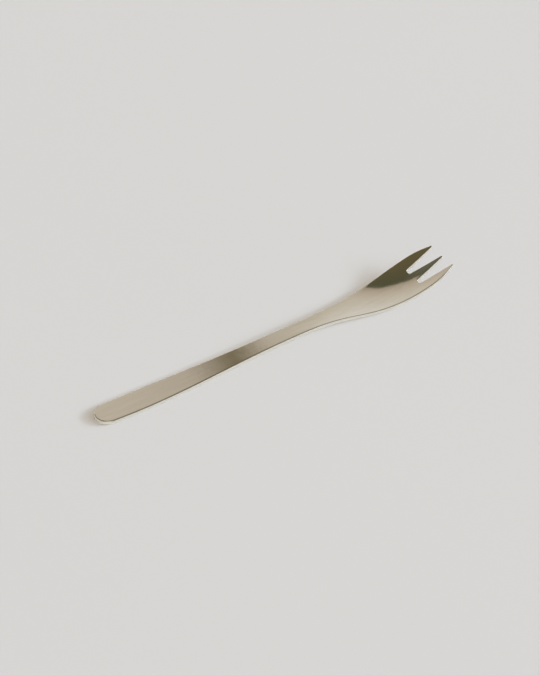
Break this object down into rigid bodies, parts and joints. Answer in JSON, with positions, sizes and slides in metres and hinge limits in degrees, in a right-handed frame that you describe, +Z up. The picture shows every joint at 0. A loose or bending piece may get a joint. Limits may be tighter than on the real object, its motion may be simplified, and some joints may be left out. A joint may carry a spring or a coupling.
{
  "type": "cake fork",
  "caption": "Slim one-piece cake fork: a flat round-ended handle tapers to a narrow neck, then opens into a broad shallow head cut into short pointed tines.",
  "frame": {"origin": "bottom centre of the fork's box, with the fork lying on its back on a table", "axes": "+X along the fork towards the tine tips, +Y to its left side, +Z up"},
  "size_m": [0.15, 0.0188, 0.0099],
  "materials": {
    "steel": "satin stainless steel with a warm tone and paler edges"
  },
  "bodies": {
    "root": {"fork": "steel"}
  },
  "joints": []
}
